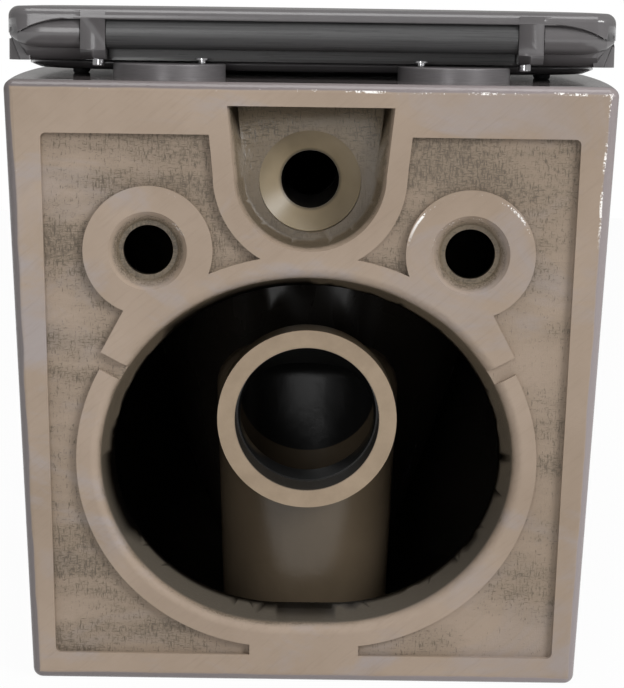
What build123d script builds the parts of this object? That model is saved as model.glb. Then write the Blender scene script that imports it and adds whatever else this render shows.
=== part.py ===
from build123d import *
from math import atan, degrees
import os

os.makedirs("parts", exist_ok=True)

# A wall-hung WC pan with a soft-close seat and lid, in millimetres. X runs across the pan, the wall is the
# plane Y = 0 and the pan stands out from it towards -Y, and Z is up. The origin lies on the wall, midway
# between the two fixing studs.

# The pan's outside
pan_projection = 520.0  # wall to front
pan_height = 340.0
rim_z = 94.0  # top of the rim above the fixing studs
rear_half_top = 170.0  # half-width against the wall, at the rim
rear_half_bottom = 154.2  # half-width against the wall, at the underside
flare_top = 10.8  # how much wider the pan is at its widest than at the wall
flare_bottom = 2.0
widest_share = 0.44  # where along each slice it is widest, from the wall
underside_length = 310.0
front_sweep = 1.9  # how late the front sweeps back towards the underside
edge_round = 5.5

# Walls of the fired body
wall = 11.0
rear_thickness = 14.0
rim_thickness = 13.0
bowl_wall = 10.0

# The rear face
fixing_spacing = 180.0
fixing_hole_radius = 14.0
fixing_mouth_radius = 22.0
fixing_cone_radius = 16.5
fixing_cone_depth = 7.0
pad_radius = 36.2
recess_depth = 4.0
border_top = 29.0
border_bottom = 15.5
border_side_top = 20.3
border_side_bottom = 12.9
band_width = 11.7
opening_half_width = 118.0
opening_top = -12.7
opening_bottom = -214.0
opening_waist = -118.0  # where it is widest
opening_flat = 15.0  # half of the flat at its foot
opening_round = 6.0
opening_lip = 9.0  # the turned-in edge round it
lip_reach = 26.0
lip_lean = 8.0  # how much narrower it is at the lip's back
recess_round = 3.0
bridge_half = 31.0  # half of the bridge from the band down to the border
notch_x = 111.0
notch_z = -65.0
notch_turn = 28.0
notch_width = 9.0
notch_length = 40.0
tail_reach = 8.0  # the tail beside each notch, outwards from the notch's middle
tail_length = 40.0

# The flush inlet in its pocket
inlet_z = 38.5
pocket_bottom = 0.6
pocket_half_top = 46.5
pocket_radius = 42.5
pocket_depth = 18.0
pocket_slope = 6.0
pocket_wall = 9.0
flange_width = 11.5
socket_radius = 28.75
socket_depth = 12.0
socket_cone = 8.0
flush_radius = 16.5
flush_wall = 10.0

# The waste outlet and its trap
waste_drop = 135.0  # inlet centre to waste centre
spigot_radius = 51.0
spigot_wall = 10.0
spigot_recess = 15.0
spigot_length = 26.0  # the plain ring that the waste collar slides over
spigot_step = 1.0
neck_start = 20.0  # inside the ring
neck_drop = 11.0
trap_leg = 104.0  # wall to the middle of the upright leg
leg_half_top = 55.5
leg_half_foot = 49.0
leg_half_depth = 44.0
leg_rise = 30.0  # waste centre to the leg's rounded top
leg_round = 25.0
trap_half_width = 44.0
trap_half_height = 42.0
trap_lift = 3.0
trap_reach = 210.0  # wall to the trap's mouth, inside the bowl

# The bowl
bowl_rear = 135.0
front_rim = 43.0  # width of the rim at the front
bowl_half_width = 130.0
sump_centre = 240.0
sump_radius = 40.0
sump_round = 14.0
bowl_fall = 1.55  # how fast the bowl narrows towards its sump

# Side holes that reach the fixings
access_radius = 10.0
access_y = 34.0
access_plug = 9.0
access_gap = 0.15

# Hinge: its axis, bar, discs and posts
axis_height = 25.5  # above the rim
axis_from_wall = 66.0
bar_radius = 9.5
bar_half_length = 118.2
foot_reach = 23.0
foot_back = 12.2
foot_drop = 14.5
foot_neck = 5.8
hinge_hole_spacing = 155.0
hinge_hole_radius = 7.0
disc_spacing = 165.0
disc_radius = 32.5
disc_height = 8.1
disc_from_wall = 72.0
disc_skin = 1.6
plate_thickness = 4.0
plate_gap = 0.4
slot_travel = 8.0
slot_gap = 0.2
disc_edge = 0.8
post_radius = 2.75
post_inset = 18.5  # from the disc's centre, towards the middle
post_reach = 17.5  # in front of the axis
post_grip = 8.0
collar_radius = 4.5
collar_height = 1.0
bolt_radius = 4.0
bolt_head_radius = 7.5
bolt_head_height = 2.4
sleeve_length = 34.0
sleeve_gap = 0.15
nut_height = 9.0

# Dampers and shafts
damper_radius = 6.5
damper_length = 52.0
shaft_radius = 3.5
shaft_flat = 2.6  # axis to each flat
shaft_in_damper = 34.0
shaft_in_lug = 18.0
run_gap = 0.05
key_gap = 0.03

# Seat and lid
side_gap = 0.5
ear_inner = bar_half_length + 0.4
ear_width = 14.3
ear_half_depth = 10.0
ear_drop = 15.5
seat_half_rear = 174.5
seat_half_width = 181.0
seat_overhang = 2.0
corner_round = 14.0
seat_lift = 9.0
seat_edge = 12.0
seat_thickness = 18.0
seat_slope = 10.0
seat_rear = 25.0  # behind edge of the ring, in front of the axis
wing_start = 3.0  # in front of the axis
wing_scoop = 6.0
wing_lap = 2.0
wing_round = 8.0
lug_sink = 0.2
lug_cap = 3.5
lug_cap_slope = 40.0
seat_inner_round = 7.0
seat_hole_half_width = 108.0
seat_hole_rear = 152.0
seat_front_band = 80.0
wing_width = 9.5  # from the lug's end to the seat's edge
lid_top = 40.0
lid_skin = 4.5
lid_skirt = 5.0
lid_skirt_bottom = 24.5
lid_round = 6.0
lip_depth = 2.5
lip_round = 8.0
lip_gap = 0.4
ear_round = 6.0
buffer_length = 24.0
buffer_width = 9.0
buffer_round = 1.5
buffer_side = 41.0  # in from the seat's widest
buffer_rear_y = 140.0
buffer_front_side = 74.0
buffer_front = 95.0  # back from the front
buffer_inset = 14.0
screw_radius = 3.6
screw_shank = 1.8
screw_height = 4.0
screw_spacing = 246.0

# Worked out from the sizes above
bowl_front = pan_projection - front_rim
widest = widest_share * pan_projection
seat_hole_front = pan_projection - seat_front_band
lug_outer = seat_half_rear - wing_width
post_half_spacing = disc_spacing / 2 - post_inset
buffer_rear_x = seat_half_width - buffer_side
buffer_front_x = seat_half_width - buffer_front_side
buffer_front_y = pan_projection - buffer_front
base_z = rim_z - pan_height
rim_under = rim_z - rim_thickness
waste_z = inlet_z - waste_drop
axis_z = rim_z + axis_height
trap_z = base_z + wall + trap_half_height + trap_lift
pocket_top = rim_under
pocket_centre_z = pocket_bottom + pocket_radius
lid_rear_y = -(axis_from_wall - ear_half_depth)
seat_z = rim_z + seat_lift
lid_z = rim_z + lid_skirt_bottom
lid_under = rim_z + lid_top - lid_skin
foot_z = axis_z - foot_drop
bowl_centre = (bowl_rear + bowl_front) / 2
bowl_half_length = (bowl_front - bowl_rear) / 2
sump_floor = base_z + wall + bowl_wall
lug_inner = ear_inner + ear_width + side_gap
sides = (("left", -1), ("right", 1))


def across(x):
    """The plane square to the hinge axis at x: its X runs forwards from the axis and its Y runs up."""
    return Plane(origin=(x, -axis_from_wall, axis_z), x_dir=(0, -1, 0), z_dir=(-1, 0, 0))


def finish(piece, name):
    """Name a finished piece and write it."""
    piece.label = name
    export_step(piece, f"parts/{name}.step")


# ---- The pan's outside, which every fired piece is cut from ----


def slice_sizes(z):
    """Length and half-widths of the pan's horizontal slice at height z."""
    fall = max(rim_z - z, 0) / pan_height
    length = pan_projection - (pan_projection - underside_length) * fall**front_sweep
    rear = rear_half_top + (rear_half_bottom - rear_half_top) * fall
    side = rear + flare_top + (flare_bottom - flare_top) * fall
    return length, rear, side


def pan_slice(z, inset, rear_y):
    """One D-shaped slice, drawn inset from the outside and running back to rear_y."""
    length, rear, side = slice_sizes(z)
    middle = -widest_share * length
    back = side - (side - rear) * ((rear_y - middle) / -middle) ** 2 - inset
    side, front = side - inset, length - inset + middle
    with BuildSketch(Plane.XY.offset(z)) as outline:
        with BuildLine():
            Line((-back, rear_y), (back, rear_y))
            TangentArc((side, middle), (back, rear_y), tangent=(0, 1))
            EllipticalCenterArc((0, middle), side, front, start_angle=180, arc_size=180)
            TangentArc((-side, middle), (-back, rear_y), tangent=(0, 1))
        make_face()
    return outline.sketch.face()


def levels(low, high, count=6):
    """Evenly spaced heights from low to high."""
    return [low + (high - low) * step / (count - 1) for step in range(count)]


with BuildPart() as pan_outside:
    loft([pan_slice(z, 0, rear_thickness) for z in levels(base_z, rim_z)])
    split(bisect_by=Plane.XZ)
    rear_edges = faces().sort_by(Axis.Y)[-1].edges()
    rim_edges = faces().sort_by(Axis.Z)[-1].edges()
    base_edges = faces().sort_by(Axis.Z)[0].edges()
    fillet(ShapeList(set(rear_edges + rim_edges + base_edges)), edge_round)


# ---- Bowl and trap, as full and hollow forms ----


def bowl_slice(z, grow):
    """One oval slice of the bowl at height z, drawn grown outwards."""
    open_share = 1 - min((rim_under - z) / (rim_under - sump_floor), 1) ** bowl_fall
    half_width = sump_radius + (bowl_half_width - sump_radius) * open_share + grow
    half_length = sump_radius + (bowl_half_length - sump_radius) * open_share + grow
    centre = sump_centre + (bowl_centre - sump_centre) * open_share
    with BuildSketch(Plane.XY.offset(z)) as outline:
        with Locations((0, -centre)):
            Ellipse(half_width, half_length)
    return outline.sketch.face()


with BuildPart() as bowl_outside:
    loft([bowl_slice(z, bowl_wall) for z in levels(sump_floor - bowl_wall, rim_under)])
    fillet(faces().sort_by(Axis.Z)[0].edges(), sump_round)

with BuildPart() as bowl_inside:
    loft([bowl_slice(z, 0) for z in levels(sump_floor, rim_under)])
    fillet(faces().sort_by(Axis.Z)[0].edges(), sump_round)

def trap_form(inset):
    """The trap from its spigot, down its upright leg and along to the bowl, drawn inset from the outside."""
    with BuildSketch(Plane.XY.offset(waste_z + leg_rise - inset)) as leg_top:
        with Locations((0, -trap_leg)):
            Ellipse(leg_half_top - inset, leg_half_depth - inset)
    with BuildSketch(Plane.XY.offset(base_z + wall + inset)) as leg_foot:
        with Locations((0, -trap_leg)):
            Ellipse(leg_half_foot - inset, leg_half_depth - inset)
    neck_radius = spigot_radius - spigot_step - inset
    with BuildSketch(Plane.XZ.offset(spigot_recess + neck_start)) as neck_rear:
        with Locations((0, waste_z)):
            Circle(neck_radius)
    with BuildSketch(Plane.XZ.offset(trap_leg)) as neck_front:
        with Locations((0, waste_z - neck_drop)):
            Ellipse(neck_radius, neck_radius - neck_drop)
    with BuildPart() as form:
        loft([leg_foot.sketch.face(), leg_top.sketch.face()])
        fillet(faces().sort_by(Axis.Z)[-1].edges(), leg_round - inset)
        loft([neck_rear.sketch.face(), neck_front.sketch.face()])
        with BuildSketch(Plane.XZ.offset(spigot_recess)):
            with Locations((0, waste_z)):
                Circle(spigot_radius - inset)
        extrude(amount=spigot_length)
        with BuildSketch(Plane.XZ.offset(trap_leg)):
            with Locations((0, trap_z)):
                Ellipse(trap_half_width - inset, trap_half_height - inset)
        extrude(amount=trap_reach - trap_leg)
    return form.part


# ---- The fired pan, in the pieces it is cast from ----


def opening_outline(grow, depth):
    """The large opening, grown outwards, at a depth from the wall: oval above, fuller and flat below."""
    half = opening_half_width + grow
    rise, fall = opening_top + grow - opening_waist, opening_waist - opening_bottom + grow
    with BuildSketch(Plane.XZ.offset(depth)) as outline:
        with BuildLine():
            EllipticalCenterArc((0, opening_waist), half, rise, start_angle=0, arc_size=90)
            EllipticalCenterArc(
                (opening_flat, opening_waist), half - opening_flat, fall, start_angle=270, arc_size=90
            )
            Line((0, opening_waist - fall), (opening_flat, opening_waist - fall))
            mirror(about=Plane.YZ)
        make_face()
    return outline.sketch


def pocket_outline(grow, depth):
    """The round-bottomed pocket of the flush inlet, grown sideways and down, at a depth from the wall."""
    with BuildSketch(Plane.XZ.offset(depth)) as outline:
        with BuildLine():
            Polyline(
                (-pocket_radius - grow, pocket_centre_z),
                (-pocket_half_top - grow, pocket_top),
                (pocket_half_top + grow, pocket_top),
                (pocket_radius + grow, pocket_centre_z),
            )
            ThreePointArc(
                (-pocket_radius - grow, pocket_centre_z),
                (0, pocket_bottom - grow),
                (pocket_radius + grow, pocket_centre_z),
            )
        make_face()
    return outline.sketch


with BuildPart() as pan_rear_wall:
    add(pan_outside.part)
    split(bisect_by=Plane.XZ.offset(rear_thickness), keep=Keep.BOTTOM)
    extrude(opening_outline(opening_lip, 0), amount=lip_reach)
    loft(
        [opening_outline(0, 0).face(), opening_outline(-lip_lean, lip_reach).face()],
        mode=Mode.SUBTRACT,
    )
    fillet(faces().sort_by(Axis.Y)[-1].inner_wires()[0].edges(), opening_round)
    # The fields between the ground border, pads, pocket flange and band lie lower
    with BuildSketch(Plane.XZ) as recess:
        inner_top, inner_bottom = rim_z - border_top, base_z + border_bottom
        half_top, half_bottom = rear_half_top - border_side_top, rear_half_bottom - border_side_bottom
        Polygon(
            (-half_bottom, inner_bottom),
            (half_bottom, inner_bottom),
            (half_top, inner_top),
            (-half_top, inner_top),
            align=None,
        )
        add(opening_outline(band_width, 0), mode=Mode.SUBTRACT)
        add(pocket_outline(flange_width, 0), mode=Mode.SUBTRACT)
        with Locations((-fixing_spacing / 2, 0), (fixing_spacing / 2, 0)):
            Circle(pad_radius, mode=Mode.SUBTRACT)
        # Below each pad a tail runs down beside the opening, and a notch parts it from the band
        for side in (-1, 1):
            notch = Location((side * notch_x, notch_z), side * notch_turn)
            with Locations(notch):
                Rectangle(notch_length, notch_width)
            with Locations(notch * Location((side * (tail_reach - notch_length / 2), notch_width / 2))):
                Rectangle(
                    notch_length, tail_length, align=(Align.CENTER, Align.MIN), mode=Mode.SUBTRACT
                )
        with Locations((0, inner_bottom)):
            Rectangle(2 * bridge_half, 2 * border_bottom, mode=Mode.SUBTRACT)
        corners = recess.vertices().filter_by(lambda v: abs(abs(v.X) - half_bottom) < recess_round)
        corners += recess.vertices().filter_by(lambda v: abs(abs(v.X) - half_top) < recess_round)
        fillet(corners, recess_round)
    extrude(amount=recess_depth, mode=Mode.SUBTRACT)
    # The pocket, let into a boss behind the wall
    extrude(pocket_outline(pocket_wall, rear_thickness), amount=pocket_depth + pocket_wall - rear_thickness)
    loft(
        [pocket_outline(0, 0).face(), pocket_outline(-pocket_slope, pocket_depth).face()],
        mode=Mode.SUBTRACT,
    )
    with BuildSketch(Plane.XZ):
        with Locations((0, inlet_z)):
            Circle(socket_radius)
    extrude(amount=pocket_depth + pocket_wall, mode=Mode.SUBTRACT)
    with BuildSketch(Plane.XZ):
        with Locations((-fixing_spacing / 2, 0), (fixing_spacing / 2, 0)):
            Circle(fixing_mouth_radius)
    mouth_slope = degrees(atan((fixing_mouth_radius - fixing_cone_radius) / fixing_cone_depth))
    extrude(amount=fixing_cone_depth, taper=mouth_slope, mode=Mode.SUBTRACT)
    with BuildSketch(Plane.XZ):
        with Locations((-fixing_spacing / 2, 0), (fixing_spacing / 2, 0)):
            Circle(fixing_hole_radius)
    extrude(amount=rear_thickness, mode=Mode.SUBTRACT)
finish(pan_rear_wall.part, "pan_rear_wall")

with BuildPart() as pan_shroud:
    add(pan_outside.part)
    split(bisect_by=Plane.XZ.offset(rear_thickness))
    split(bisect_by=Plane.XY.offset(rim_under), keep=Keep.BOTTOM)
    loft(
        [pan_slice(z, wall, 0) for z in levels(base_z + wall, rim_under + rim_thickness / 2)],
        mode=Mode.SUBTRACT,
    )
    with BuildSketch(Plane.YZ):
        with Locations((-access_y, 0)):
            Circle(access_radius)
    extrude(amount=pan_projection / 2, both=True, mode=Mode.SUBTRACT)
finish(pan_shroud.part, "pan_shroud")

with BuildPart() as pan_rim:
    add(pan_outside.part)
    split(bisect_by=Plane.XZ.offset(rear_thickness))
    split(bisect_by=Plane.XY.offset(rim_under))
    with BuildSketch(Plane.XY.offset(rim_under)):
        with Locations((0, -bowl_centre)):
            Ellipse(bowl_half_width, bowl_half_length)
    extrude(amount=rim_thickness, mode=Mode.SUBTRACT)
    fillet(faces().sort_by(Axis.Z)[-1].inner_wires()[0].edges(), edge_round)
    with BuildSketch(Plane.XY.offset(rim_under)):
        with Locations((-hinge_hole_spacing / 2, -disc_from_wall), (hinge_hole_spacing / 2, -disc_from_wall)):
            Circle(hinge_hole_radius)
    extrude(amount=rim_thickness, mode=Mode.SUBTRACT)
finish(pan_rim.part, "pan_rim")

with BuildPart() as pan_bowl:
    add(bowl_outside.part)
    add(bowl_inside.part, mode=Mode.SUBTRACT)
    add(trap_form(spigot_wall), mode=Mode.SUBTRACT)
    with BuildSketch(Plane.XZ.offset(pocket_depth)):
        with Locations((0, inlet_z)):
            Circle(flush_radius)
    extrude(amount=bowl_rear, mode=Mode.SUBTRACT)
finish(pan_bowl.part, "pan_bowl")

with BuildPart() as pan_trapway:
    add(trap_form(0))
    add(trap_form(spigot_wall), mode=Mode.SUBTRACT)
    add(bowl_outside.part, mode=Mode.SUBTRACT)
finish(pan_trapway.part, "pan_trapway")

with BuildPart() as pan_flush_channel:
    boss_y = pocket_depth + pocket_wall
    cone_y = pocket_depth + socket_depth
    with BuildSketch(Plane.XZ.offset(boss_y)):
        with Locations((0, inlet_z)):
            Circle(socket_radius + flush_wall)
    extrude(amount=cone_y + socket_cone - boss_y)
    with BuildSketch(Plane.XZ.offset(boss_y)):
        with Locations((0, inlet_z)):
            Circle(flush_radius + flush_wall)
    extrude(amount=bowl_rear - boss_y)
    with BuildSketch(Plane.XZ.offset(boss_y)):
        with Locations((0, inlet_z)):
            Circle(flush_radius)
    extrude(amount=bowl_rear - boss_y, mode=Mode.SUBTRACT)
    with BuildSketch(Plane.XZ.offset(boss_y)):
        with Locations((0, inlet_z)):
            Circle(socket_radius)
    extrude(amount=cone_y - boss_y, mode=Mode.SUBTRACT)
    with BuildSketch(Plane.XZ.offset(cone_y)):
        with Locations((0, inlet_z)):
            Circle(socket_radius)
    extrude(
        amount=socket_cone,
        taper=degrees(atan((socket_radius - flush_radius) / socket_cone)) - 0.5,
        mode=Mode.SUBTRACT,
    )
    add(bowl_outside.part, mode=Mode.SUBTRACT)
finish(pan_flush_channel.part, "pan_flush_channel")

for name, side in sides:
    # A push-in plug, flush with the glaze, closes each hole that reaches a wall fixing
    _, rear_half, side_half = slice_sizes(0)
    with BuildPart() as cover:
        with BuildSketch(Plane.YZ.offset(side * (rear_half - access_plug))):
            with Locations((-access_y, 0)):
                Circle(access_radius - access_gap)
        extrude(amount=side * (access_plug + flare_top))
        add(pan_outside.part, mode=Mode.INTERSECT)
    finish(cover.part, f"fixing_cover_{name}")


# ---- Hinge fittings on the rim ----

for name, side in sides:
    disc_x, bolt_x, post_x = side * disc_spacing / 2, side * hinge_hole_spacing / 2, side * post_half_spacing
    post_y = -(axis_from_wall + post_reach)

    with BuildPart() as plate:
        with BuildSketch(Plane.XY.offset(rim_z)):
            with Locations((disc_x, -disc_from_wall)):
                Circle(disc_radius - disc_skin - plate_gap)
            with Locations((bolt_x, -disc_from_wall)):
                SlotCenterToCenter(slot_travel, 2 * (bolt_radius + slot_gap), mode=Mode.SUBTRACT)
            with Locations((post_x, post_y)):
                Circle(post_radius + key_gap, mode=Mode.SUBTRACT)
        extrude(amount=plate_thickness)
    finish(plate.part, f"hinge_plate_{name}")

    with BuildPart() as cover:
        with BuildSketch(Plane.XY.offset(rim_z)):
            with Locations((disc_x, -disc_from_wall)):
                Circle(disc_radius)
        extrude(amount=disc_height)
        fillet(faces().sort_by(Axis.Z)[-1].edges(), disc_edge)
        with BuildSketch(Plane.XY.offset(rim_z)):
            with Locations((disc_x, -disc_from_wall)):
                Circle(disc_radius - disc_skin)
        extrude(amount=disc_height - disc_skin, mode=Mode.SUBTRACT)
        with BuildSketch(Plane.XY.offset(rim_z)):
            with Locations((post_x, post_y)):
                Circle(post_radius + plate_gap)
        extrude(amount=disc_height, mode=Mode.SUBTRACT)
    finish(cover.part, f"disc_cover_{name}")

    with BuildPart() as post:
        with BuildSketch(Plane.XY.offset(rim_z)):
            with Locations((post_x, post_y)):
                Circle(post_radius)
        extrude(amount=foot_z - rim_z + post_grip)
        with BuildSketch(Plane.XY.offset(foot_z - collar_height)):
            with Locations((post_x, post_y)):
                Circle(collar_radius)
        extrude(amount=collar_height)
    finish(post.part, f"hinge_post_{name}")

    with BuildPart() as bolt:
        head_z = rim_z + plate_thickness
        with BuildSketch(Plane.XY.offset(head_z)):
            with Locations((bolt_x, -disc_from_wall)):
                Circle(bolt_head_radius)
        extrude(amount=bolt_head_height)
        with BuildSketch(Plane.XY.offset(head_z + bolt_head_height)):
            with Locations((bolt_x, -disc_from_wall)):
                RegularPolygon(bolt_radius / 2, 6)
        extrude(amount=-bolt_head_height / 2, mode=Mode.SUBTRACT)
        with BuildSketch(Plane.XY.offset(head_z)):
            with Locations((bolt_x, -disc_from_wall)):
                Circle(bolt_radius)
        extrude(amount=-(plate_thickness + sleeve_length + nut_height))
    finish(bolt.part, f"hinge_bolt_{name}")

    # The bolt draws a cone nut into a rubber sleeve, which swells and grips the blind side of the hole
    with BuildPart() as sleeve:
        with BuildSketch(Plane.XY.offset(rim_z)):
            with Locations((bolt_x, -disc_from_wall)):
                Circle(hinge_hole_radius - sleeve_gap)
                Circle(bolt_radius + run_gap, mode=Mode.SUBTRACT)
        extrude(amount=-sleeve_length)
    finish(sleeve.part, f"hinge_sleeve_{name}")

    with BuildPart() as nut:
        with BuildSketch(Plane.XY.offset(rim_z - sleeve_length)):
            with Locations((bolt_x, -disc_from_wall)):
                Circle(hinge_hole_radius - 2 * sleeve_gap)
        extrude(amount=-nut_height)
        chamfer(edges().group_by(Axis.Z)[0], nut_height / 4)
        with BuildSketch(Plane.XY.offset(rim_z - sleeve_length)):
            with Locations((bolt_x, -disc_from_wall)):
                Circle(bolt_radius + key_gap)
        extrude(amount=-nut_height, mode=Mode.SUBTRACT)
    finish(nut.part, f"hinge_cone_nut_{name}")

with BuildPart() as hinge_bar:
    with BuildSketch(across(0)):
        Circle(bar_radius)
        Polygon(
            (0, foot_neck / 2),
            (0, -foot_neck),
            (foot_back, -foot_neck),
            (foot_back, -foot_drop),
            (foot_reach, -foot_drop),
            (foot_reach, -foot_neck),
            (foot_back, foot_neck / 2),
            align=None,
        )
    extrude(amount=bar_half_length, both=True)
    for name, side in sides:
        with BuildSketch(across(side * bar_half_length)):
            Circle(damper_radius + key_gap)
        extrude(amount=side * damper_length, mode=Mode.SUBTRACT)
    with BuildSketch(Plane.XY.offset(foot_z)):
        with Locations((-post_half_spacing, post_y), (post_half_spacing, post_y)):
            Circle(post_radius + key_gap)
    extrude(amount=post_grip, mode=Mode.SUBTRACT)
finish(hinge_bar.part, "hinge_bar")

# The left damper brakes the lid and the right one the seat
for moved, (name, side) in zip(("lid", "seat"), sides):
    with BuildPart() as damper:
        with BuildSketch(across(side * bar_half_length)):
            Circle(damper_radius)
        extrude(amount=side * damper_length)
        with BuildSketch(across(side * bar_half_length)):
            Circle(shaft_radius + run_gap)
        extrude(amount=side * shaft_in_damper, mode=Mode.SUBTRACT)
    finish(damper.part, f"{moved}_damper")

    # Its shaft is round in the damper, and flatted where it is keyed to the piece that it brakes
    key_start = ear_inner if moved == "lid" else lug_inner
    with BuildPart() as shaft:
        with BuildSketch(across(side * (bar_half_length - shaft_in_damper))):
            Circle(shaft_radius)
        extrude(amount=-side * (shaft_in_damper + lug_inner + shaft_in_lug - bar_half_length))
        with BuildSketch(across(side * key_start)):
            Circle(shaft_radius + key_gap)
            Rectangle(2 * shaft_radius + 1, 2 * shaft_flat, mode=Mode.SUBTRACT)
        extrude(amount=-side * (lug_inner + shaft_in_lug - key_start), mode=Mode.SUBTRACT)
    finish(shaft.part, f"{moved}_shaft")


# ---- Seat and lid ----


def seat_outline(z, inset, rear_y):
    """The plan that seat and lid share, at height z, drawn inset from the edge and running back to rear_y."""
    share = (widest + rear_y) / (widest + lid_rear_y)
    back = seat_half_width - (seat_half_width - seat_half_rear) * share**2 - inset
    side = seat_half_width - inset
    front = pan_projection + seat_overhang - widest - inset
    with BuildSketch(Plane.XY.offset(z)) as outline:
        with BuildLine():
            Line((-back, rear_y), (back, rear_y))
            TangentArc((side, -widest), (back, rear_y), tangent=(0, 1))
            EllipticalCenterArc((0, -widest), side, front, start_angle=180, arc_size=180)
            TangentArc((-side, -widest), (-back, rear_y), tangent=(0, 1))
        make_face()
    return outline.sketch


def keyhole(radius, flat):
    """A round hole, or one with two flats where flat is given, on the hinge axis."""
    with BuildSketch() as outline:
        Circle(radius)
        if flat:
            Rectangle(2 * radius, 2 * flat, mode=Mode.INTERSECT)
    return outline.sketch


with BuildPart() as seat_ring:
    ring_rear_y, wing_rear_y = -(axis_from_wall + seat_rear), -(axis_from_wall + wing_start)
    extrude(seat_outline(seat_z, 0, wing_rear_y), amount=seat_thickness)
    top = faces().sort_by(Axis.Z)[-1]
    slope_edges = top.edges().sort_by(Axis.Y)[:-1]
    chamfer(slope_edges, length=seat_slope, length2=seat_thickness - seat_edge, reference=top)
    # Behind the ring only the seat's edge carries on, as a low wing with a rounded corner
    with BuildSketch(Plane.XY.offset(seat_z + seat_edge)):
        with Locations((0, ring_rear_y)):
            Rectangle(pan_projection, pan_projection, align=(Align.CENTER, Align.MIN))
    extrude(amount=seat_thickness, mode=Mode.SUBTRACT)
    with BuildSketch(Plane.XY.offset(seat_z)):
        with Locations((0, ring_rear_y)):
            Rectangle(2 * (lug_outer - wing_lap), pan_projection, align=(Align.CENTER, Align.MIN))
    extrude(amount=seat_thickness, mode=Mode.SUBTRACT)
    fillet(edges().filter_by(Axis.Z).filter_by(lambda e: abs(e.center().X) > lug_outer), wing_round)
    with BuildSketch(Plane.XY.offset(seat_z)):
        with Locations((0, -(seat_hole_rear + seat_hole_front) / 2)):
            Ellipse(seat_hole_half_width, (seat_hole_front - seat_hole_rear) / 2)
    extrude(amount=seat_thickness, mode=Mode.SUBTRACT)
    fillet(faces().sort_by(Axis.Z)[-1].inner_wires()[0].edges(), seat_inner_round)
    # Beside each wing a lug reaches back around the hinge axis
    for side in (-1, 1):
        tuck = (-wing_start / 2, lug_sink - bar_radius)
        with BuildSketch(across(side * lug_inner)):
            Circle(bar_radius)
            with BuildLine():
                Polyline(
                    (0, bar_radius),
                    (seat_rear + wing_lap, seat_lift + seat_thickness - axis_height),
                    (seat_rear + wing_lap, seat_lift - axis_height),
                    (wing_start + wing_scoop, seat_lift - axis_height),
                )
                RadiusArc((wing_start + wing_scoop, seat_lift - axis_height), tuck, wing_scoop * 3)
                Line(tuck, (0, bar_radius))
            make_face()
        extrude(amount=-side * (lug_outer - lug_inner))
        with BuildSketch(across(side * lug_outer)):
            Circle(bar_radius)
        extrude(amount=-side * lug_cap, taper=lug_cap_slope)
    for name, side in sides:
        keyed = name == "right"
        with BuildSketch(across(side * lug_inner)):
            add(keyhole(shaft_radius + (key_gap if keyed else run_gap), shaft_flat + key_gap if keyed else 0))
        extrude(amount=-side * (shaft_in_lug + side_gap), mode=Mode.SUBTRACT)
finish(seat_ring.part, "seat_ring")

with BuildPart() as lid:
    extrude(seat_outline(lid_z, 0, lid_rear_y), amount=lid_top - lid_skirt_bottom)
    fillet(edges().filter_by(Axis.Z).group_by(Axis.Y)[-1], corner_round)
    fillet(faces().sort_by(Axis.Z)[-1].edges(), lid_round)
    # Hollow inside its skirt; behind the axis only a lip is left above the bar
    hollow = lid_top - lid_skirt_bottom - lid_skin
    extrude(seat_outline(lid_z, lid_skirt, -axis_from_wall), amount=hollow, mode=Mode.SUBTRACT)
    with BuildSketch(Plane.XZ.offset(-lid_rear_y)) as under_lip:
        with Locations((0, lid_z)):
            Rectangle(
                2 * (seat_half_rear - lid_skirt), hollow - lip_depth, align=(Align.CENTER, Align.MIN)
            )
        fillet(under_lip.vertices().group_by(Axis.Y)[-1], lip_round)
    extrude(amount=2 * ear_half_depth, mode=Mode.SUBTRACT)
    with BuildSketch(across(0)):
        Circle(bar_radius + lip_gap)
    extrude(amount=seat_half_rear - lid_skirt, both=True, mode=Mode.SUBTRACT)
    for name, side in sides:
        with BuildSketch(across(side * ear_inner)) as ear:
            ear_top = lid_top - lid_skin - axis_height + lid_skin / 2
            with Locations((0, (ear_top - ear_drop) / 2)):
                Rectangle(2 * ear_half_depth, ear_top + ear_drop)
            fillet(ear.vertices().group_by(Axis.Y)[0], ear_round)
        extrude(amount=-side * ear_width)
        keyed = name == "left"
        with BuildSketch(across(side * ear_inner)):
            add(keyhole(shaft_radius + (key_gap if keyed else run_gap), shaft_flat + key_gap if keyed else 0))
        extrude(amount=-side * ear_width, mode=Mode.SUBTRACT)
        with BuildSketch(Plane.XY.offset(axis_z - ear_drop)):
            with Locations((side * screw_spacing / 2, -axis_from_wall)):
                Circle(screw_shank + run_gap)
        extrude(amount=ear_drop - shaft_radius, mode=Mode.SUBTRACT)
finish(lid.part, "lid")

for name, side in sides:
    with BuildPart() as screw:
        with BuildSketch(Plane.XY.offset(axis_z - ear_drop)):
            with Locations((side * screw_spacing / 2, -axis_from_wall)):
                Circle(screw_radius)
        extrude(amount=-screw_height)
        fillet(faces().sort_by(Axis.Z)[0].edges(), screw_height / 4)
        with BuildSketch(Plane.XY.offset(axis_z - ear_drop)):
            with Locations((side * screw_spacing / 2, -axis_from_wall)):
                Circle(screw_shank)
        extrude(amount=ear_drop - shaft_radius - 1)
    finish(screw.part, f"ear_screw_{name}")

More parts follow.
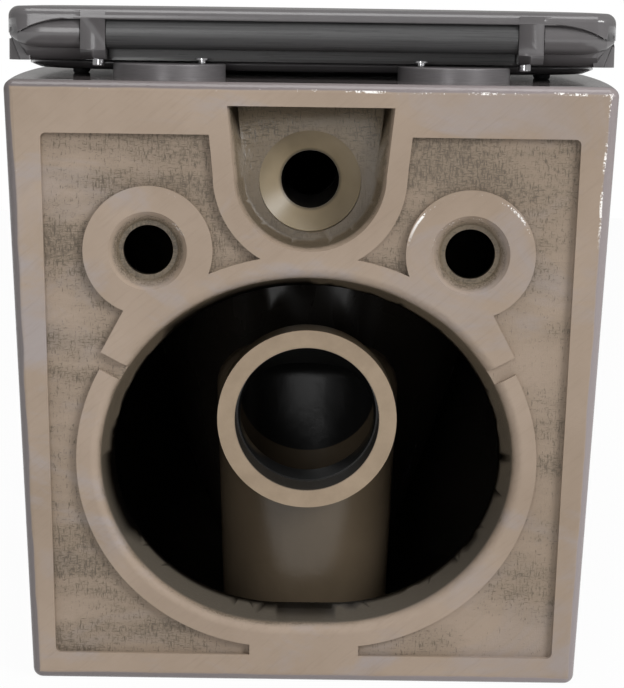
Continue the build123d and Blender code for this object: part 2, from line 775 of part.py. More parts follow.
# Rubber buffers: the seat stands on four and the lid rests on four more
for where, buffer_y, seat_buffer_x, lid_buffer_x in (
    ("rear", buffer_rear_y, buffer_rear_x, buffer_rear_x),
    ("front", buffer_front_y, buffer_front_x, buffer_front_x - buffer_inset),
):
    for name, side in sides:
        for carrier, x, low, high in (
            ("seat", seat_buffer_x, rim_z, seat_z),
            ("lid", lid_buffer_x, seat_z + seat_thickness, lid_under),
        ):
            with BuildPart() as buffer:
                with BuildSketch(Plane.XY.offset(low)):
                    with Locations((side * x, -buffer_y)):
                        SlotOverall(buffer_length, buffer_width, rotation=90)
                extrude(amount=high - low)
                fillet(faces().sort_by(Axis.Z)[0].edges(), buffer_round)
            finish(buffer.part, f"{carrier}_buffer_{where}_{name}")
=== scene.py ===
import bmesh
import bpy
from math import atan2, copysign, cos, pi, radians, sin, sqrt
from mathutils import Matrix, Vector


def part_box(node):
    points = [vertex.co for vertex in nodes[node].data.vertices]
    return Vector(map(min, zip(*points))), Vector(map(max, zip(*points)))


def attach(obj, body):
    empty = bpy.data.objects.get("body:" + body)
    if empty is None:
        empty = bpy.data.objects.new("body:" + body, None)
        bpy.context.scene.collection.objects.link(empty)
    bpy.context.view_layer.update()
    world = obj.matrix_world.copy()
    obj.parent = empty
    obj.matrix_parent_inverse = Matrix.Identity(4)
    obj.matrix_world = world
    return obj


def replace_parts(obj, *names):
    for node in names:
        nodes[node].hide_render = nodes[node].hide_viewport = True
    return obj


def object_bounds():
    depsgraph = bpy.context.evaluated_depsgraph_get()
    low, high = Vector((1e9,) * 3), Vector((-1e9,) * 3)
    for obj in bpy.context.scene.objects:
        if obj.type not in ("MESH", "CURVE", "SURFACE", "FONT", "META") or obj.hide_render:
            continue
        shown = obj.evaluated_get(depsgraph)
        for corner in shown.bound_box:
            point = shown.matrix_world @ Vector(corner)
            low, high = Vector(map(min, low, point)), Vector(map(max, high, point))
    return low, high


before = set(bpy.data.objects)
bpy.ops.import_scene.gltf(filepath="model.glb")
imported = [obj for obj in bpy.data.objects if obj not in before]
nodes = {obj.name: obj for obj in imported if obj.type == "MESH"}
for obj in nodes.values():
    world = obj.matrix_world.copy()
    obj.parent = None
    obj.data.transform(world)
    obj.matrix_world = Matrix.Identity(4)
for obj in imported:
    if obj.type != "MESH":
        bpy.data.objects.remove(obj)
cad_low, cad_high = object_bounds()


# ---- Studio: camera, floor and lamps ----
# The pan is looked at from behind and a little above, from where the wall would be. It stands on a white
# floor before a white backdrop, under a soft lamp overhead, with a strong one to the right of the camera
# and a weak one to its left.
scene = bpy.context.scene
scene.view_settings.view_transform = "Standard"

camera_data = bpy.data.cameras.new("rear_camera")
camera_data.sensor_width = 36.0
camera_data.lens = 122.9
camera_data.clip_start, camera_data.clip_end = 0.05, 30.0
camera = bpy.data.objects.new("rear_camera", camera_data)
scene.collection.objects.link(camera)
camera_yaw, camera_dip, camera_roll = radians(179.9), radians(8.27), radians(0.8)
camera.matrix_world = (
    Matrix.Translation((0.0, 1.300, 0.138)) @ Matrix.Rotation(camera_yaw, 4, "Z")
    @ Matrix.Rotation(radians(90) - camera_dip, 4, "X") @ Matrix.Rotation(camera_roll, 4, "Z")
)
scene.camera = camera


def shader(name):
    """A new material with its Principled shader, and its node tree to build on."""
    material = bpy.data.materials.new(name)
    material.use_nodes = True
    tree = material.node_tree
    return material, tree, tree.nodes["Principled BSDF"]


def feed(tree, made, **sockets):
    """Give a node's inputs, called by name or by number, plain values or other nodes' outputs."""
    for key, value in sockets.items():
        target = made.inputs[int(key[1:])] if key[1:].isdigit() else made.inputs[key.replace("_", " ")]
        if isinstance(value, bpy.types.NodeSocket):
            tree.links.new(value, target)
        else:
            target.default_value = value


def node(tree, kind, **settings):
    """One node of a material. Names in capitals set its properties and the others its inputs."""
    made = tree.nodes.new("ShaderNode" + kind)
    for key in [key for key in settings if key.isupper()]:
        setattr(made, key.lower(), settings.pop(key))
    feed(tree, made, **settings)
    return made


def figure(tree, operation, *values):
    """The result of one sum in a material."""
    return node(tree, "Math", OPERATION=operation, **{f"i{k}": v for k, v in enumerate(values)}).outputs[0]


# White where the camera or a mirror sees it, and plain pale paint for the light and the shadow
floor_paint, paint_tree, paint = shader("white_floor")
feed(paint_tree, paint, Base_Color=(0.82, 0.82, 0.82, 1), Roughness=0.9)
seen = node(paint_tree, "LightPath")
glow = node(paint_tree, "Emission", Color=(1, 1, 1, 1), Strength=1.0)
direct = figure(paint_tree, "MAXIMUM", seen.outputs["Is Camera Ray"], seen.outputs["Is Glossy Ray"])
share = figure(paint_tree, "MULTIPLY", direct, 0.965)
mixed = node(paint_tree, "MixShader", Fac=share, i1=paint.outputs[0], i2=glow.outputs[0])
paint_tree.links.new(mixed.outputs[0], paint_tree.nodes["Material Output"].inputs["Surface"])

floor_mesh = bmesh.new()
bmesh.ops.create_grid(floor_mesh, x_segments=1, y_segments=1, size=3.0)
bmesh.ops.translate(floor_mesh, verts=floor_mesh.verts, vec=(0, 0, cad_low.z))
floor_data = bpy.data.meshes.new("studio_floor")
floor_mesh.to_mesh(floor_data)
floor_mesh.free()
floor_data.materials.append(floor_paint)
floor = bpy.data.objects.new("studio_floor", floor_data)
scene.collection.objects.link(floor)

world = bpy.data.worlds.new("studio")
scene.world = world
world.use_nodes = True
world_tree = world.node_tree
sky = world_tree.nodes["Background"]
feed(world_tree, sky, Color=(1.0, 0.985, 0.97, 1), Strength=0.3)
backdrop = node(world_tree, "Background", Color=(1, 1, 1, 1), Strength=1.0)
seen = node(world_tree, "LightPath")
direct = figure(world_tree, "MAXIMUM", seen.outputs["Is Camera Ray"], seen.outputs["Is Transmission Ray"])
mixed = node(world_tree, "MixShader", Fac=direct, i1=sky.outputs[0], i2=backdrop.outputs[0])
world_tree.links.new(mixed.outputs[0], world_tree.nodes["World Output"].inputs["Surface"])

for name, place, wide, tall, power in (
    ("key_softbox", (-1.7, 1.55, 1.15), 1.0, 1.0, 38.0),
    ("overhead_softbox", (0.1, 0.35, 1.75), 1.6, 0.9, 14.0),
    ("left_softbox", (0.5, 2.3, 0.6), 0.6, 1.3, 9.0),
):
    lamp = bpy.data.lights.new(name, "AREA")
    lamp.shape = "RECTANGLE"
    lamp.size, lamp.size_y = wide, tall
    lamp.energy = power
    light = bpy.data.objects.new(name, lamp)
    light.location = place
    light.rotation_euler = (Vector((0, -0.1, 0)) - Vector(place)).to_track_quat("-Z", "Y").to_euler()
    scene.collection.objects.link(light)


# ---- Glazed outside of the pan: shroud and rim ----
# Fireclay cast in plaster, sprayed with a dark warm-grey glaze and fired once. The glaze is thick and very
# smooth, with a faint orange-peel ripple. The inside of the shroud has a thin dark coat, painted near-black
# as the shade in the cavity behind the rear wall.


def noise(tree, place, scale, detail, roughness=0.5, distortion=0.0, stretch=None):
    """A noise value. Stretch scales its place first, so it runs in streaks along the axis with a small figure."""
    if stretch:
        place = node(tree, "Mapping", Vector=place, Scale=stretch).outputs[0]
    made = node(
        tree, "TexNoise", Vector=place, Scale=scale, Detail=detail, Roughness=roughness, Distortion=distortion,
    )
    return made.outputs["Fac"]


def span(tree, value, start, end, at_start, at_end):
    """A value's range from start to end, stretched to another range and held at its ends."""
    return node(tree, "MapRange", Value=value, i1=start, i2=end, i3=at_start, i4=at_end).outputs[0]


def ramp(tree, factor, first_at, first, second_at, second):
    """Two tints blended by a factor, each pure where the factor reaches its place."""
    made = node(tree, "ValToRGB", Fac=factor)
    for stop, place, tint in zip(made.color_ramp.elements, (first_at, second_at), (first, second)):
        stop.position, stop.color = place, (*tint, 1)
    return made.outputs["Color"]


def blend(tree, factor, first, second):
    """The first colour where the factor is 0, and the second where it is 1."""
    return node(tree, "Mix", DATA_TYPE="RGBA", i0=factor, i6=first, i7=second).outputs[2]


def relief(tree, skin, height, strength, distance):
    """A shallow relief in the surface."""
    bump = node(tree, "Bump", Height=height, Strength=strength, Distance=distance)
    tree.links.new(bump.outputs["Normal"], skin.inputs["Normal"])


def faces_away(tree, place, middle):
    """1 on the surfaces that look away from a middle point, and 0 on those that look at it."""
    outward = node(tree, "VectorMath", OPERATION="SUBTRACT", i0=place.outputs["Object"], i1=middle)
    facing = node(
        tree, "VectorMath", OPERATION="DOT_PRODUCT", i0=outward.outputs[0], i1=place.outputs["Normal"],
    )
    return figure(tree, "GREATER_THAN", facing.outputs["Value"], 0.0)


def grey_cloud(tree, spot):
    """The grey glaze's tint, faintly clouded, and the noise that clouds it."""
    cloud = noise(tree, spot, 22.0, 4.0)
    return cloud, ramp(tree, cloud, 0.35, (0.126, 0.11, 0.11), 0.7, (0.141, 0.123, 0.122))


def glaze_over(tree, skin, spot, tint):
    """A hard gloss over a tint, with a faint orange-peel ripple."""
    feed(tree, skin, Base_Color=tint, Roughness=0.16, Coat_Weight=0.6, Coat_Roughness=0.05)
    relief(tree, skin, noise(tree, spot, 160.0, 2.0), 0.12, 0.0006)


def coat(material, *names):
    """Give CAD nodes a material in place of their plain one."""
    for name in names:
        nodes[name].data.materials.clear()
        nodes[name].data.materials.append(material)


glaze, tree, skin = shader("grey_glaze")
spot = node(tree, "TexCoord").outputs["Object"]
glaze_over(tree, skin, spot, grey_cloud(tree, spot)[1])

shroud_glaze, tree, skin = shader("shroud_glaze")
place = node(tree, "TexCoord")
low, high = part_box("pan_shroud")
outside = faces_away(tree, place, (low + high) / 2)
cloud, tone = grey_cloud(tree, place.outputs["Object"])
# Painted shade: the inside faces get a near-black tint, a thin dark coat darkened as the cavity's shade
dark_coat_and_shade = ramp(tree, cloud, 0.3, (0.016, 0.014, 0.011), 0.8, (0.034, 0.029, 0.023))
glaze_over(tree, skin, place.outputs["Object"], blend(tree, outside, dark_coat_and_shade, tone))

coat(shroud_glaze, "pan_shroud")
coat(glaze, "pan_rim")


# ---- Rear wall ----
# The pan is ground flat on a belt where it bears on the wall: a border, a pad round each fixing, the flange of
# the flush pocket and a band round the opening. Between them the fired clay lies 4 mm lower, dusted with
# speckled glaze. A merged copy of the wall gets its edges bevelled as finely as its shortest edges allow.
edge_width = 0.0019
glint_radii = (0.0225, 0.0358)
hole_side = 0.09


def merged_copy(name):
    """A working copy of a CAD node, with its loose triangles joined and its flats made whole."""
    copy = bmesh.new()
    copy.from_mesh(nodes[name].data)
    bmesh.ops.remove_doubles(copy, verts=copy.verts, dist=2e-6)
    bmesh.ops.dissolve_limit(copy, angle_limit=radians(0.6), verts=copy.verts, edges=copy.edges)
    return copy


def dress(mesh, name, finish, body):
    """Turn a finished bmesh into an object that rides on its body."""
    for face in mesh.faces:
        face.smooth = True
    data = bpy.data.meshes.new(name)
    mesh.to_mesh(data)
    mesh.free()
    data.materials.append(finish)
    piece = bpy.data.objects.new(name, data)
    scene.collection.objects.link(piece)
    piece.modifiers.new("even_normals", "WEIGHTED_NORMAL").weight = 90
    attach(piece, body)
    return piece


rear = merged_copy("pan_rear_wall")
for edge in [e for e in rear.edges if e.calc_length() > 0.006 and min(v.co.y for v in e.verts) > -0.006]:
    bmesh.ops.subdivide_edges(rear, edges=[edge], cuts=int(edge.calc_length() / 0.004))
outline_low, outline_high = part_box("pan_rear_wall")
stepped = [
    e for e in rear.edges
    if e.is_manifold and e.calc_face_angle(0) > radians(28) and min(v.co.y for v in e.verts) > -0.0085
]
bmesh.ops.bevel(
    rear, geom=stepped, offset=edge_width, offset_type="OFFSET", affect="EDGES", segments=4, profile=0.5,
    material=-1, clamp_overlap=True,
)

ground_clay, tree, skin = shader("ground_fireclay")
spot = node(tree, "TexCoord").outputs["Object"]
across, depthwise, upright = node(tree, "SeparateXYZ", Vector=spot).outputs
# Bare ground clay: pinkish biscuit with broad soft stains, and a bluish bloom where glaze was wiped off
stain = noise(tree, spot, 8.0, 5.0, roughness=0.6)
ground = ramp(tree, stain, 0.34, (0.3, 0.228, 0.168), 0.66, (0.388, 0.304, 0.238))
bloom_noise = noise(tree, spot, 17.0, 6.0, roughness=0.62, distortion=0.8, stretch=(0.5, 1, 1))
bloom = span(tree, bloom_noise, 0.5, 0.64, 0.0, 0.75)
bloomed = blend(tree, bloom, ground, (0.325, 0.292, 0.292, 1))
# Painted shade: the clay is tinted darker towards -x, the right as seen from behind
painted_side_shade = span(tree, across, -0.17, 0.17, 0.3, 0.0)
wiped = blend(tree, painted_side_shade, bloomed, (0.22, 0.16, 0.11, 1))
# Belt scratches run slantwise over the ground faces
slanted = node(tree, "Mapping", Vector=spot, Rotation=(0, radians(50), 0))
belt = noise(tree, slanted.outputs[0], 520.0, 3.0, roughness=0.6, stretch=(1, 1, 0.07))
scratch = span(tree, belt, 0.52, 0.74, 0.0, 0.16)
wiped = blend(tree, scratch, wiped, (0.17, 0.125, 0.085, 1))
# Recess: the same clay brushed with dark glaze dust, in strokes along and across, thickest by the pads, high up,
# low on the left and high on the right
along = noise(tree, spot, 1250.0, 2.0, roughness=0.7, stretch=(0.22, 1, 1))
upward = noise(tree, spot, 1150.0, 2.0, roughness=0.7, stretch=(1, 1, 0.22))
dust = figure(tree, "MAXIMUM", along, upward)
patch = noise(tree, spot, 34.0, 6.0, roughness=0.65, stretch=(0.3, 1, 1))
heavy = patch
for hole_x in (-hole_side, hole_side):
    from_pad = node(tree, "VectorMath", OPERATION="DISTANCE", i0=spot, i1=(hole_x, 0, 0))
    ringed = span(tree, from_pad.outputs["Value"], 0.034, 0.062, 0.09, 0.0)
    heavy = figure(tree, "ADD", heavy, ringed)
high_up = span(tree, upright, 0.03, 0.064, 0.0, 0.09)
heavy = figure(tree, "ADD", heavy, high_up)
skew = figure(tree, "MULTIPLY", across, upright)
heavy = figure(tree, "MULTIPLY_ADD", skew, -2.6, heavy)
thick = span(tree, heavy, 0.42, 0.64, -0.09, 0.09)
speck_level = figure(tree, "ADD", dust, thick)
speck = span(tree, speck_level, 0.56, 0.7, 0.0, 0.9)
haze = span(tree, heavy, 0.4, 0.64, 0.12, 0.72)
hazed = blend(tree, haze, wiped, (0.2, 0.156, 0.11, 1))
recess = blend(tree, speck, hazed, (0.105, 0.08, 0.056, 1))
depth = span(tree, depthwise, -0.0014, -0.0038, 0.0, 1.0)
face = blend(tree, depth, wiped, recess)
# Pocket, holes and the lip of the opening: thin brown-olive glaze
deep = span(tree, depthwise, -0.0042, -0.0066, 0.0, 1.0)
olive_stain = ramp(tree, patch, 0.3, (0.125, 0.095, 0.062), 0.72, (0.2, 0.156, 0.106))
olive_speck = blend(tree, speck, olive_stain, (0.075, 0.058, 0.038, 1))
# The pocket darkens towards its foot
across_x = figure(tree, "ABSOLUTE", across)
in_pocket = span(tree, across_x, 0.049, 0.055, 1.0, 0.0)
pocket_foot_dark = span(tree, upright, 0.002, 0.05, 0.6, 0.0)
pocket_foot_dark = figure(tree, "MULTIPLY", pocket_foot_dark, in_pocket)
olive_speck = blend(tree, pocket_foot_dark, olive_speck, (0.06, 0.046, 0.03, 1))
# The lip of the opening darkens towards its foot
lower = span(tree, upright, -0.02, -0.16, 0.0, 1.0)
lip = blend(tree, lower, olive_speck, (0.092, 0.079, 0.062, 1))
inner = blend(tree, deep, face, lip)
# Outer edge: the grey glaze comes round to the ground border
fall = span(tree, upright, outline_low.z, outline_high.z, 0.1542, 0.17)
side_gap = figure(tree, "SUBTRACT", across_x, fall)
wander = noise(tree, spot, 16.0, 3.0)
wobble = span(tree, wander, 0.3, 0.7, -0.0011, 0.0011)
side_line = figure(tree, "ADD", side_gap, wobble)
top_gap = figure(tree, "SUBTRACT", upright, outline_high.z)
foot_gap = figure(tree, "SUBTRACT", outline_low.z, upright)
ends = figure(tree, "MAXIMUM", top_gap, foot_gap)
end_line = figure(tree, "MULTIPLY_ADD", wobble, 0.5, ends)
rim_line = figure(tree, "MAXIMUM", side_line, end_line)
glazed = span(tree, rim_line, -0.0046, -0.0037, 0.0, 1.0)
thinned = span(tree, across, -0.15, 0.15, 1.0, 0.25)
edge_glaze = blend(tree, thinned, (0.135, 0.118, 0.117, 1), (0.27, 0.235, 0.235, 1))
outer = blend(tree, glazed, inner, edge_glaze)
# Painted highlights: small bright spots stand for the lamps' glints on the glaze, along the top edge and over the
# upper arc of each pad, more of them towards -x
glint_noise = noise(tree, spot, 700.0, 3.0, roughness=0.75)
glint_run = noise(tree, spot, 45.0, 2.0)
glint_level = figure(tree, "ADD", glint_noise, glint_run)
nearest = figure(tree, "ABSOLUTE", figure(tree, "ADD", rim_line, 0.0044))
for hole_x in (-hole_side, hole_side):
    from_pad = node(tree, "VectorMath", OPERATION="DISTANCE", i0=spot, i1=(hole_x, 0, -0.002))
    for radius in glint_radii:
        off_edge = figure(tree, "SUBTRACT", from_pad.outputs["Value"], radius)
        nearest = figure(tree, "MINIMUM", nearest, figure(tree, "ABSOLUTE", off_edge))
by_edge = span(tree, nearest, 0.0004, 0.0009, 1.0, 0.0)
upper = span(tree, upright, 0.004, 0.02, 0.0, 1.0)
glint_side = span(tree, across, -0.02, 0.08, 1.1, 1.26)
glint_over = figure(tree, "GREATER_THAN", glint_level, glint_side)
glint = figure(tree, "MULTIPLY", figure(tree, "MULTIPLY", by_edge, upper), glint_over)
outer = blend(tree, glint, outer, (0.93, 0.9, 0.87, 1))
matte = span(tree, glazed, 0.0, 1.0, 0.6, 0.16)
feed(tree, skin, Base_Color=outer, Roughness=figure(tree, "MULTIPLY_ADD", deep, -0.28, matte))
# Relief: the belt's scratches on the ground faces, and the grain of the dust below them
belt_patch = span(tree, bloom_noise, 0.35, 0.6, 0.15, 0.9)
belt_mark = figure(tree, "MULTIPLY", belt, belt_patch)
grain_level = node(tree, "Mix", DATA_TYPE="FLOAT", i0=depth, i2=belt_mark, i3=dust)
relief(tree, skin, grain_level.outputs[0], 0.45, 0.0007)
rear_face = dress(rear, "rear_face", ground_clay, "pan")
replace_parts(rear_face, "pan_rear_wall")


# ---- Bowl, trapway and flush channel ----
# The hidden waterway. The trap and its spigot keep a thin olive glaze, and the spigot's end is ground bare so
# that the waste collar seals on it. The bowl is glazed like the outside.
spigot_radius = 0.051


def from_axis(tree, axes, height):
    """How far a place lies from the line that runs into the wall at a height."""
    flat_spot = node(tree, "CombineXYZ", i0=axes["X"], i2=axes["Z"])
    away = node(tree, "VectorMath", OPERATION="DISTANCE", i0=flat_spot.outputs[0], i1=(0, 0, height))
    return away.outputs["Value"]


trap_glaze, tree, skin = shader("olive_trap_glaze")
spot = node(tree, "TexCoord").outputs["Object"]
axes = node(tree, "SeparateXYZ", Vector=spot).outputs
olive = ramp(tree, noise(tree, spot, 18.0, 5.0), 0.3, (0.088, 0.066, 0.042), 0.7, (0.125, 0.094, 0.062))
end = span(tree, axes["Y"], -0.0175, -0.0163, 0.0, 1.0)
ring_stain = noise(tree, spot, 40.0, 6.0, roughness=0.7)
ring = ramp(tree, ring_stain, 0.3, (0.25, 0.186, 0.124), 0.7, (0.33, 0.25, 0.172))
whole = blend(tree, end, olive, ring)
# The bore is painted near-black, its dark grey glaze darkened as painted shade inside the spigot
spigot_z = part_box("pan_trapway")[1].z - spigot_radius
bore = span(tree, from_axis(tree, axes, spigot_z), 0.0415, 0.0408, 0.0, 1.0)
whole = blend(tree, bore, whole, (0.012, 0.012, 0.012, 1))
feed(tree, skin, Base_Color=whole, Roughness=span(tree, end, 0.0, 1.0, 0.28, 0.6))
relief(tree, skin, noise(tree, spot, 200.0, 3.0), 0.2, 0.0006)

# The bowl is glazed grey inside, and outside it is painted near-black as the shade in the cavity behind the rear
# wall
bowl_glaze, tree, skin = shader("bowl_glaze")
place = node(tree, "TexCoord")
spot = place.outputs["Object"]
low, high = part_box("pan_bowl")
middle = (low + high) / 2
outside = faces_away(tree, place, (middle.x, middle.y, high.z))
cloud, tone = grey_cloud(tree, spot)
cavity_shade = ramp(tree, cloud, 0.3, (0.012, 0.01, 0.008), 0.8, (0.026, 0.021, 0.016))
runs = noise(tree, spot, 45.0, 3.0, stretch=(1, 1, 0.12))
wet = span(tree, runs, 0.35, 0.65, 0.1, 0.3)
feed(tree, skin, Base_Color=blend(tree, outside, tone, cavity_shade), Roughness=wet)
relief(tree, skin, runs, 0.25, 0.002)

# The flush channel is painted near-black outside its socket and deeper in its pipe, as the shade in the cavity
# and down the hole; its socket has the olive glaze of the pocket
channel_glaze, tree, skin = shader("channel_glaze")
spot = node(tree, "TexCoord").outputs["Object"]
axes = node(tree, "SeparateXYZ", Vector=spot).outputs
low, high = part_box("pan_flush_channel")
in_socket = span(tree, from_axis(tree, axes, (low.z + high.z) / 2), 0.0298, 0.029, 0.0, 1.0)
in_pipe = span(tree, axes["Y"], -0.0385, -0.037, 0.0, 1.0)
shown = figure(tree, "MULTIPLY", in_socket, in_pipe)
stain = noise(tree, spot, 30.0, 5.0)
olive = ramp(tree, stain, 0.3, (0.235, 0.185, 0.115), 0.7, (0.33, 0.265, 0.175))
feed(tree, skin, Base_Color=blend(tree, shown, (0.02, 0.016, 0.011, 1), olive), Roughness=0.3)
relief(tree, skin, stain, 0.15, 0.001)

coat(trap_glaze, "pan_trapway")
coat(bowl_glaze, "pan_bowl")
coat(channel_glaze, "pan_flush_channel")


# ---- Access plugs ----
# Two plugs of gloss plastic, coloured like the glaze, close the side holes that reach the wall fixings. They
# are moulded, and pushed in from outside.
plug_plastic, tree, skin = shader("plug_plastic")
spot = node(tree, "TexCoord").outputs["Object"]
tone = ramp(tree, noise(tree, spot, 300.0, 2.0), 0.3, (0.125, 0.11, 0.11), 0.7, (0.142, 0.126, 0.126))
feed(tree, skin, Base_Color=tone, Roughness=0.25)
coat(plug_plastic, "fixing_cover_left", "fixing_cover_right")


# ---- Seat and lid ----
# Compression-moulded urea in the glaze's grey, polished to a high gloss, with a few hairline wipe marks. The
# seat's lugs and the lid's ears run on the hinge bar, and merged copies of both are shaped at their ends.
seat_gloss, tree, skin = shader("polished_grey_seat")
spot = node(tree, "TexCoord").outputs["Object"]
tone = ramp(tree, noise(tree, spot, 35.0, 3.0), 0.3, (0.122, 0.116, 0.119), 0.7, (0.14, 0.132, 0.135))
streak = noise(tree, spot, 60.0, 4.0, stretch=(1, 16, 30))
wiped = span(tree, streak, 0.3, 0.8, 0.14, 0.28)
feed(tree, skin, Base_Color=tone, Roughness=wiped, Coat_Weight=0.4, Coat_Roughness=0.08)
relief(tree, skin, streak, 0.05, 0.0003)

# The underside of the ring is moulded with a shallow crown, which leaves 3 mm of daylight above the rim. Its
# edge follows the seat's: round at the front and squarer towards the hinge
crown_half_width, crown_centre_y = 0.172, -0.268
rear_reach, rear_power = 0.170, 0.2
front_reach, front_power = 0.236, 1.0
hole_half_width, hole_half_length, hole_centre_y = 0.117, 0.152, -0.296
underside_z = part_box("seat_ring")[0].z
crown = bmesh.new()
# The section runs from the hole, at 0, to the outer edge, at 1
corners = [crown.verts.new((1 + out, 0, underside_z + up)) for out, up in (
    (0.0, 0.0006), (0.0, -0.003), (0.08, -0.0055), (0.16, -0.006), (0.84, -0.006), (0.92, -0.0055),
    (1.0, -0.003), (1.0, 0.0006),
)]
loop = [crown.edges.new((corners[k - 1], corners[k])) for k in range(len(corners))]
bmesh.ops.spin(
    crown, geom=corners + loop, cent=(0, 0, 0), axis=(0, 0, 1), angle=2 * pi, steps=128, use_merge=True,
)
for corner in crown.verts:
    turn = atan2(corner.co.y, corner.co.x)
    share = corner.co.xy.length - 1
    power, reach = (rear_power, rear_reach) if turn > 0 else (front_power, front_reach)
    outer_x = copysign(abs(cos(turn)) ** power, cos(turn)) * crown_half_width
    outer_y = copysign(abs(sin(turn)) ** power, sin(turn)) * reach + crown_centre_y
    corner.co.x = outer_x * share + cos(turn) * hole_half_width * (1 - share)
    corner.co.y = outer_y * share + (sin(turn) * hole_half_length + hole_centre_y) * (1 - share)
bmesh.ops.recalc_face_normals(crown, faces=crown.faces)
dress(crown, "seat_crown", seat_gloss, "seat")


def cut_across(mesh, places):
    """Cut a mesh across at distances to both sides of its middle, for shaping its ends."""
    for cut_x in places:
        for side in (-1, 1):
            bmesh.ops.bisect_plane(
                mesh, geom=mesh.verts[:] + mesh.edges[:] + mesh.faces[:], plane_co=(side * cut_x, 0, 0),
                plane_no=(1, 0, 0),
            )


# Behind the ring the seat's two lugs taper off round the hinge axis towards the corners. A bevel, which its
# shortest edges hold to a hairline, keeps the flats from shading into the curves
hinge = Vector((0, -0.066, 0.1195))
taper_start, lug_end, tip = 0.152, 0.1685, 0.1742
lug_reach, taper, bevel_width = 0.0097, 0.92, 0.0007
seat = merged_copy("seat_ring")
cut_across(seat, (taper_start, 0.1555, 0.159, 0.162, 0.1648))
for corner in seat.verts:
    out = abs(corner.co.x)
    off_axis = Vector((corner.co.y - hinge.y, corner.co.z - hinge.z))
    if -1e-5 < out - taper_start < lug_end - taper_start + 1e-5 and off_axis.length < lug_reach:
        along = min((out - taper_start) / (lug_end - taper_start), 1)
        off_axis *= sqrt(1 - (taper * along) ** 2)
        corner.co.y, corner.co.z = hinge.y + off_axis.x, hinge.z + off_axis.y
        corner.co.x += copysign(along * (tip - lug_end), corner.co.x)
sharp = [e for e in seat.edges if e.is_manifold and e.calc_face_angle(0) > radians(32)]
bmesh.ops.bevel(
    seat, geom=sharp, offset=bevel_width, offset_type="OFFSET", affect="EDGES", segments=3, profile=0.5,
    material=-1, clamp_overlap=True,
)
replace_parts(dress(seat, "soft_seat", seat_gloss, "seat"), "seat_ring")

# The lid's rear edge follows that taper down into its corners
sweep_start, sweep_end, sweep_drop = 0.138, 0.1695, 0.0085
corner_start, corner_radius = 0.1605, 0.014
band_foot, band_height, band_top = 0.1185, 0.0085, 0.1285
lid_rear_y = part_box("lid")[1].y
lid = merged_copy("lid")
cut_across(lid, (sweep_start, 0.1435, 0.149, 0.154, 0.158, 0.161, 0.1635))
for corner in lid.verts:
    out = abs(corner.co.x)
    if not sweep_start < out < sweep_end + 0.0002 or corner.co.z > band_top:
        continue
    round_off = max(out - corner_start, 0)
    rear_y = lid_rear_y - corner_radius + sqrt(corner_radius**2 - round_off**2)
    if corner.co.y > rear_y - 0.0006:
        share = min((corner.co.z - band_foot) / band_height, 1)
        corner.co.z -= share * sweep_drop * ((out - sweep_start) / (sweep_end - sweep_start)) ** 2
# The cuts leave some points a micron apart, which are joined
bmesh.ops.dissolve_degenerate(lid, dist=1.5e-6, edges=lid.edges)
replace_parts(dress(lid, "soft_lid", seat_gloss, "lid"), "lid")


# ---- Hinge bar and dampers ----
# The bar between the lid's ears is moulded in grey, painted darker than the seat as the shade under the lid's
# rear edge, and satin along its length. It holds two oil-filled dampers, black cylinders pushed in from its ends.
bar_satin, tree, skin = shader("satin_dark_bar")
spot = node(tree, "TexCoord").outputs["Object"]
draw = noise(tree, spot, 25.0, 4.0, stretch=(1, 40, 40))
# Painted shade: the bar's grey is set darker than the seat's
tone = ramp(tree, draw, 0.3, (0.07, 0.07, 0.071), 0.7, (0.092, 0.092, 0.093))
feed(tree, skin, Base_Color=tone, Roughness=span(tree, draw, 0.3, 0.7, 0.24, 0.36))
coat(bar_satin, "hinge_bar")

damper_black, tree, skin = shader("damper_black")
spot = node(tree, "TexCoord").outputs["Object"]
pebble = noise(tree, spot, 900.0, 2.0)
tone = ramp(tree, pebble, 0.0, (0.012, 0.012, 0.013), 1.0, (0.03, 0.03, 0.031))
feed(tree, skin, Base_Color=tone, Roughness=0.45)
coat(damper_black, "lid_damper", "seat_damper")


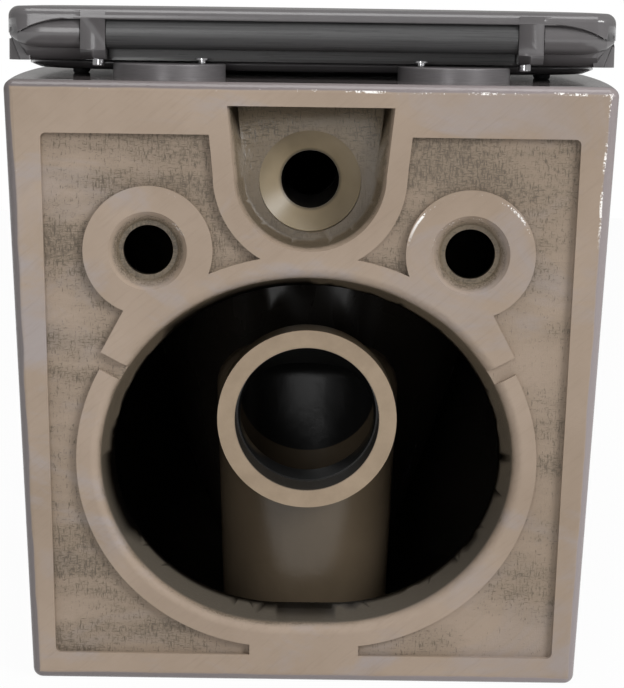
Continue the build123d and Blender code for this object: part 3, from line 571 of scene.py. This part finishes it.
# ---- Hinge discs, posts, bolts and screws ----
# Round covers of satin-lacquered metal hide the hinge plates. Chrome posts stand through them, and the plates,
# bolts, cone nuts and sleeves under them are plain steel, brass and rubber.
disc_satin, tree, skin = shader("satin_disc")
spot = node(tree, "TexCoord").outputs["Object"]
brush = noise(tree, spot, 120.0, 4.0, stretch=(1, 1, 25))
tone = ramp(tree, brush, 0.3, (0.15, 0.142, 0.146), 0.7, (0.19, 0.18, 0.185))
feed(tree, skin, Base_Color=tone, Metallic=0.35, Roughness=0.38)
relief(tree, skin, brush, 0.1, 0.0002)

chrome, tree, skin = shader("chrome_plate")
spot = node(tree, "TexCoord").outputs["Object"]
haze = noise(tree, spot, 400.0, 2.0)
hazed = span(tree, haze, 0.3, 0.7, 0.06, 0.16)
feed(tree, skin, Base_Color=(0.72, 0.72, 0.74, 1), Metallic=1.0, Roughness=hazed)

steel, tree, skin = shader("plain_steel")
spot = node(tree, "TexCoord").outputs["Object"]
turned = noise(tree, spot, 150.0, 4.0, stretch=(1, 1, 30))
turned_rough = span(tree, turned, 0.3, 0.7, 0.22, 0.42)
feed(tree, skin, Base_Color=(0.5, 0.5, 0.5, 1), Metallic=1.0, Roughness=turned_rough)

brass, tree, skin = shader("turned_brass")
spot = node(tree, "TexCoord").outputs["Object"]
turned = noise(tree, spot, 300.0, 3.0)
turned_rough = span(tree, turned, 0.3, 0.7, 0.25, 0.4)
feed(tree, skin, Base_Color=(0.52, 0.36, 0.12, 1), Metallic=1.0, Roughness=turned_rough)

rubber, tree, skin = shader("grey_rubber")
spot = node(tree, "TexCoord").outputs["Object"]
pebble = noise(tree, spot, 700.0, 3.0)
tone = ramp(tree, pebble, 0.0, (0.03, 0.03, 0.031), 1.0, (0.06, 0.06, 0.062))
feed(tree, skin, Base_Color=tone, Roughness=0.7)
relief(tree, skin, pebble, 0.2, 0.0002)

for name, part in nodes.items():
    for start, finish in (
        ("disc_cover", disc_satin), ("hinge_post", chrome), ("ear_screw", chrome), ("hinge_plate", steel),
        ("hinge_bolt", steel), ("lid_shaft", steel), ("seat_shaft", steel), ("hinge_cone_nut", brass),
        ("hinge_sleeve", rubber), ("seat_buffer", rubber), ("lid_buffer", rubber),
    ):
        if name.startswith(start):
            part.data.materials.clear()
            part.data.materials.append(finish)
